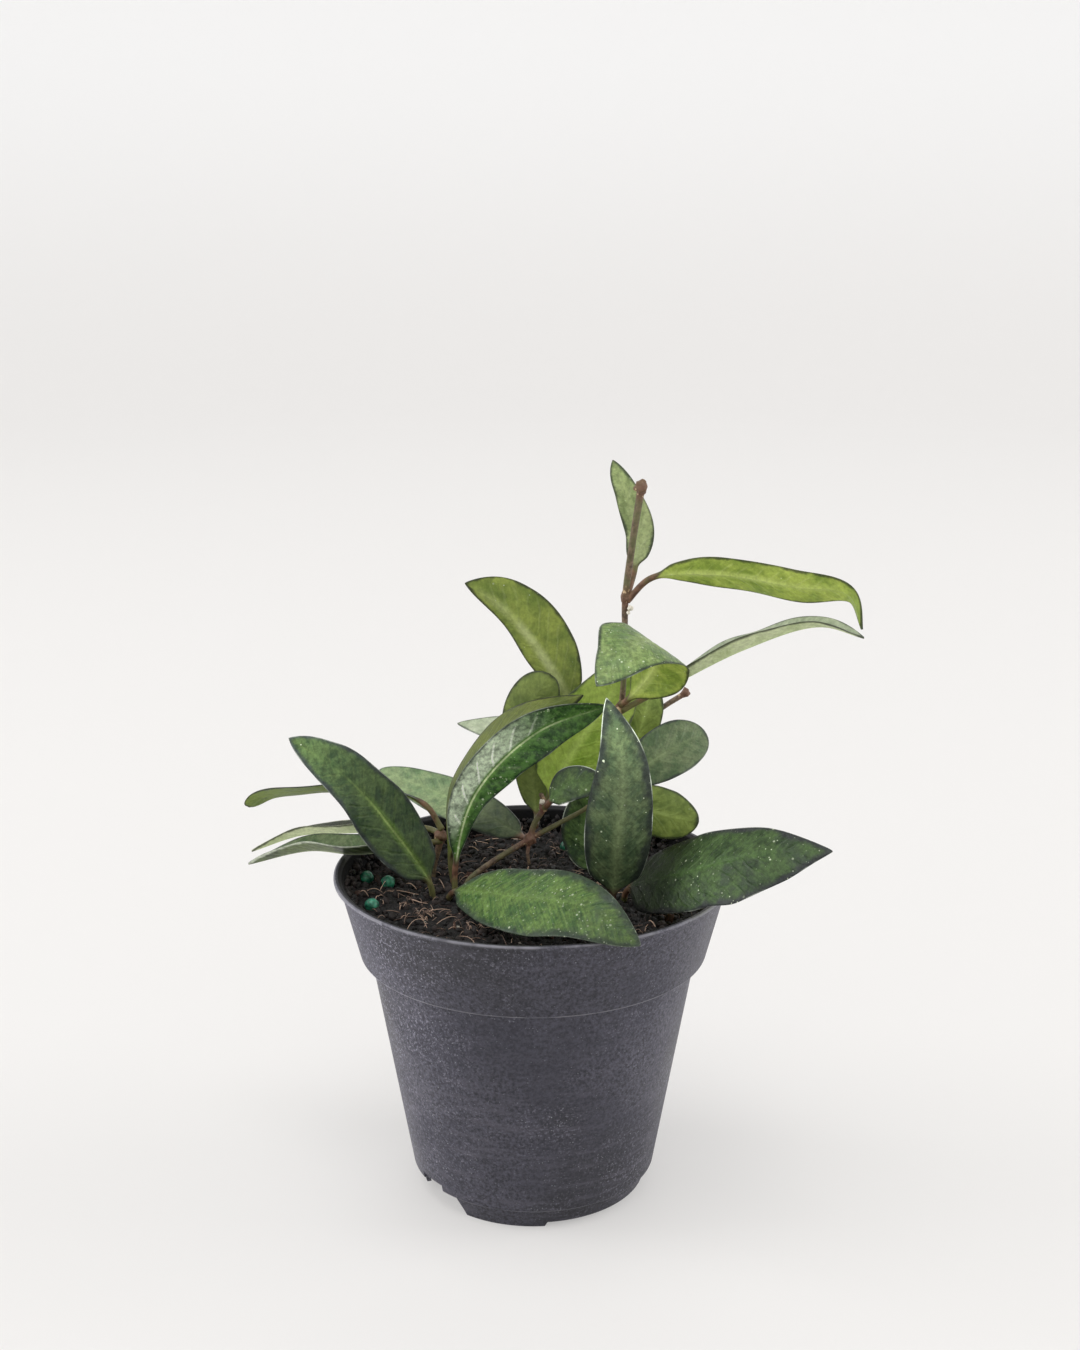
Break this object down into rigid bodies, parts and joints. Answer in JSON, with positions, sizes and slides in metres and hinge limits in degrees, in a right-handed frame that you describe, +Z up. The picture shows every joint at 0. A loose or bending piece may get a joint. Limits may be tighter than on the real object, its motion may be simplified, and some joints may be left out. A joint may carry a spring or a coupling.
{
  "type": "potted hoya plant",
  "caption": "Young hoya with thin pointed leaves on wiry stems, rooted in dark potting mix in a round tapered plastic nursery pot with a wide rim band.",
  "frame": {"origin": "on the pot's axis at the ground, under the middle of the whole plant's box", "axes": "+Z up along the pot's axis; -Y towards the front of the pot; +X to the right seen from the front"},
  "size_m": [0.159, 0.1055, 0.1948],
  "materials": {
    "pot_plastic": "dusty blue-grey black moulded plastic",
    "potting_mix": "moist peat with coir fibres and bark",
    "fertiliser_coating": "dull teal resin coating",
    "stem": "reddish brown wiry stem",
    "leaf_dark_green": "satin dark green blade with pale midrib",
    "leaf_grey_green": "satin grey green blade with pale midrib",
    "leaf_bright_green": "satin bright green blade with pale midrib",
    "leaf_olive": "light olive blade seen mostly from beneath"
  },
  "bodies": {
    "root": {"pot": "pot_plastic", "soil": "potting_mix", "fertiliser_bead_1": "fertiliser_coating", "fertiliser_bead_2": "fertiliser_coating", "fertiliser_bead_3": "fertiliser_coating", "fertiliser_bead_4": "fertiliser_coating", "stem_main": "stem", "stem_left": "stem", "stem_back": "stem", "leaf_left_front": "leaf_dark_green", "leaf_left_upper": "leaf_olive", "leaf_left_middle": "leaf_olive", "leaf_left_lower": "leaf_grey_green", "leaf_left_back": "leaf_dark_green", "leaf_arch_back": "leaf_olive", "leaf_arch_front": "leaf_dark_green", "leaf_centre_front": "leaf_dark_green", "leaf_rim_front": "leaf_bright_green", "leaf_right_front": "leaf_dark_green", "leaf_right_middle": "leaf_grey_green", "leaf_right_lower": "leaf_olive", "leaf_top_left": "leaf_olive", "leaf_centre_left": "leaf_olive", "leaf_back_left": "leaf_grey_green", "leaf_folded": "leaf_bright_green", "leaf_centre_back": "leaf_olive", "leaf_centre_right": "leaf_olive", "leaf_centre_small": "leaf_dark_green", "leaf_centre_shaded": "leaf_dark_green", "leaf_right_top": "leaf_olive", "leaf_right_upper": "leaf_olive", "leaf_top": "leaf_olive"}
  },
  "joints": []
}
